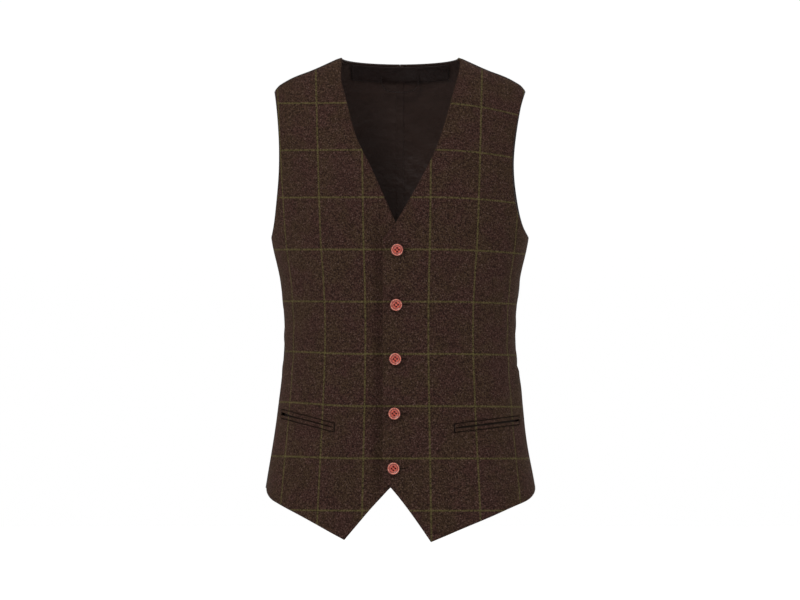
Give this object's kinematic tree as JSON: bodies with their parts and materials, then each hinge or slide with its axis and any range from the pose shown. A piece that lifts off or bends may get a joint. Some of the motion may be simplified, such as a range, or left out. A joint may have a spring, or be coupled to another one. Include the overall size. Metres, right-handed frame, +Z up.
{
  "type": "waistcoat",
  "caption": "Single-breasted tweed waistcoat, worn closed: buttoned fronts with a pointed hem, jetted pockets, V neck, lined satin back with a cinch strap and buckle.",
  "frame": {"origin": "midway between the two neck points, on top of the shoulders", "axes": "+Z up; the front faces -Y; +X towards the wearer's left"},
  "size_m": [0.375, 0.2494, 0.6732],
  "materials": {
    "tweed": "brown tweed with an olive windowpane check",
    "satin": "near-black brown lining satin",
    "pocketing": "plain cotton pocketing",
    "button": "polished coral-red resin",
    "thread": "dark red button thread",
    "steel": "antiqued steel"
  },
  "bodies": {
    "root": {"left_front_side": "tweed", "left_front_lining": "satin", "left_pocket_jet_upper": "tweed", "left_pocket_jet_lower": "tweed", "left_pocket_bag": "pocketing", "left_back": "satin", "left_back_lining": "satin", "right_front_side": "tweed", "right_front_lining": "satin", "right_pocket_jet_upper": "tweed", "right_pocket_jet_lower": "tweed", "right_pocket_bag": "pocketing", "right_back": "satin", "right_back_lining": "satin", "back_neck_band": "satin", "left_strap": "satin", "right_strap": "satin"},
    "left_wing": {"left_front_wing": "tweed", "left_facing": "tweed"},
    "right_wing": {"right_front_wing": "tweed", "right_facing": "tweed"},
    "button_1": {"button_1": "button", "button_1_thread": "thread"},
    "button_2": {"button_2": "button", "button_2_thread": "thread"},
    "button_3": {"button_3": "button", "button_3_thread": "thread"},
    "button_4": {"button_4": "button", "button_4_thread": "thread"},
    "button_5": {"button_5": "button", "button_5_thread": "thread"},
    "buckle": {"cinch_buckle": "steel"},
    "hanger": {"hanger_loop": "satin"}
  },
  "joints": [
    {"name": "left_front_open", "type": "hinge", "parent": "root", "child": "left_wing", "pos_m": [0.05891, -0.09446, -0.10398], "axis": [-0.0257, 0.0424, 0.9988], "range_deg": [0, 75], "deforming": ["left_front_wing", "left_facing"]},
    {"name": "right_front_open", "type": "hinge", "parent": "root", "child": "right_wing", "pos_m": [-0.06374, -0.09303, -0.10378], "axis": [-0.0504, -0.0376, -0.998], "range_deg": [0, 60], "deforming": ["right_front_wing", "right_facing"]},
    {"name": "button_1_twist", "type": "hinge", "parent": "right_wing", "child": "button_1", "pos_m": [-0.00403, -0.128, -0.26839], "axis": [-0.005, -0.9983, -0.0588], "range_deg": [-35, 35], "stiffness_Nm_per_rad": 0.0002},
    {"name": "button_2_twist", "type": "hinge", "parent": "right_wing", "child": "button_2", "pos_m": [-0.0053, -0.12119, -0.34447], "axis": [-0.008, -0.9962, -0.0868], "range_deg": [-35, 35], "stiffness_Nm_per_rad": 0.0002},
    {"name": "button_3_twist", "type": "hinge", "parent": "right_wing", "child": "button_3", "pos_m": [-0.00657, -0.11896, -0.41967], "axis": [-0.0105, -0.9998, 0.0193], "range_deg": [-35, 35], "stiffness_Nm_per_rad": 0.0002},
    {"name": "button_4_twist", "type": "hinge", "parent": "right_wing", "child": "button_4", "pos_m": [-0.00783, -0.12198, -0.49534], "axis": [-0.0121, -0.9984, 0.0547], "range_deg": [-35, 35], "stiffness_Nm_per_rad": 0.0002},
    {"name": "button_5_twist", "type": "hinge", "parent": "right_wing", "child": "button_5", "pos_m": [-0.00909, -0.12631, -0.57125], "axis": [-0.013, -0.9985, 0.0533], "range_deg": [-35, 35], "stiffness_Nm_per_rad": 0.0002},
    {"name": "cinch_buckle_lift", "type": "hinge", "parent": "root", "child": "buckle", "pos_m": [0.015, 0.1029, -0.39794], "axis": [0, 0.0129, -0.9999], "range_deg": [0, 60]},
    {"name": "hanger_loop_flip", "type": "hinge", "parent": "root", "child": "hanger", "pos_m": [0, 0.06416, -0.02534], "axis": [-1, 0, 0], "range_deg": [0, 110]}
  ],
  "couplings": [
    {"joint": "right_front_open", "follows": "left_front_open", "ratio": 0.8}
  ]
}
